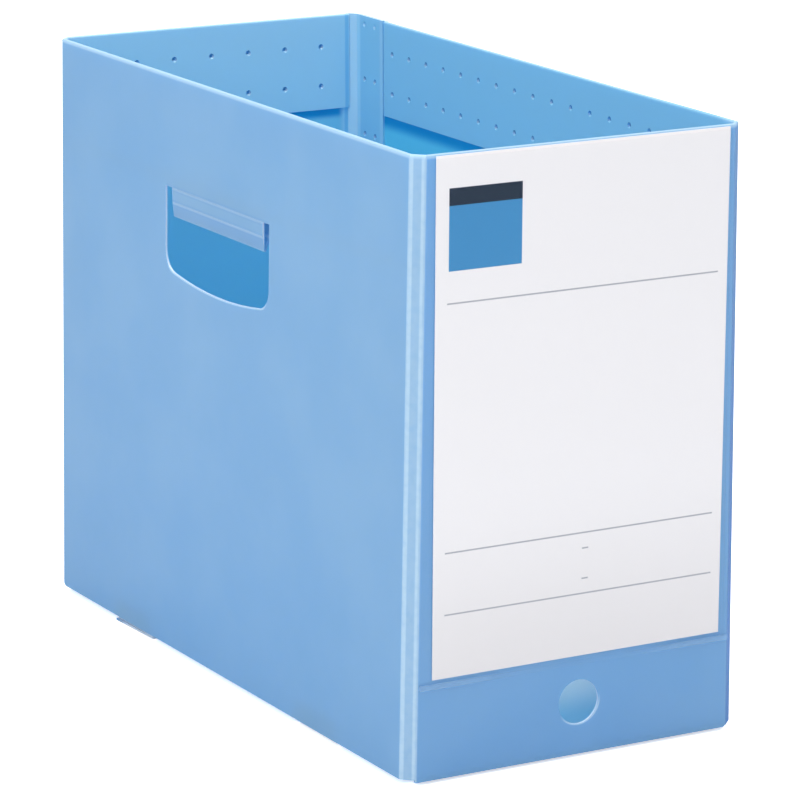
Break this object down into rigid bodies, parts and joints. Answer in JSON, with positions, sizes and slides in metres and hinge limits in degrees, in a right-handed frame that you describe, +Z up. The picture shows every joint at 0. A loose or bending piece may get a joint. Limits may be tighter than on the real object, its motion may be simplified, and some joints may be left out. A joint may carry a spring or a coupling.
{
  "type": "plastic file box",
  "caption": "Open-topped upright file box folded from blue plastic sheet, with hand holes in the long walls and a clear title pocket on the front.",
  "frame": {"origin": "centre of the base, on the surface the box stands on", "axes": "+Z up to the open top, -Y out of the front wall that carries the title card, X across the narrow width"},
  "size_m": [0.1586, 0.3212, 0.256],
  "materials": {
    "blue_sheet": "satin polypropylene sheet, slightly translucent, whitened along its creases",
    "clear_film": "clear soft film, glossy, with welded edges",
    "white_card": "matt white card with a printed field and thin rules"
  },
  "bodies": {
    "box": {"body_sleeve": "blue_sheet", "label_pocket": "clear_film", "label_card": "white_card"},
    "closure": {"bottom_closure_flap": "blue_sheet"},
    "hand_left": {"hand_flap_left": "blue_sheet"},
    "hand_right": {"hand_flap_right": "blue_sheet"}
  },
  "joints": [
    {"name": "closure_hinge", "type": "hinge", "parent": "box", "child": "closure", "pos_m": [0.07821, 0, -0.0001], "axis": [0, -1, 0], "range_deg": [0, 120]},
    {"name": "hand_flap_left_hinge", "type": "hinge", "parent": "box", "child": "hand_left", "pos_m": [-0.0758, 0.0055, 0.19465], "axis": [0, 1, 0], "range_deg": [0, 165]},
    {"name": "hand_flap_right_hinge", "type": "hinge", "parent": "box", "child": "hand_right", "pos_m": [0.07612, 0.0055, 0.2075], "axis": [0, 1, 0], "range_deg": [0, 165]}
  ]
}
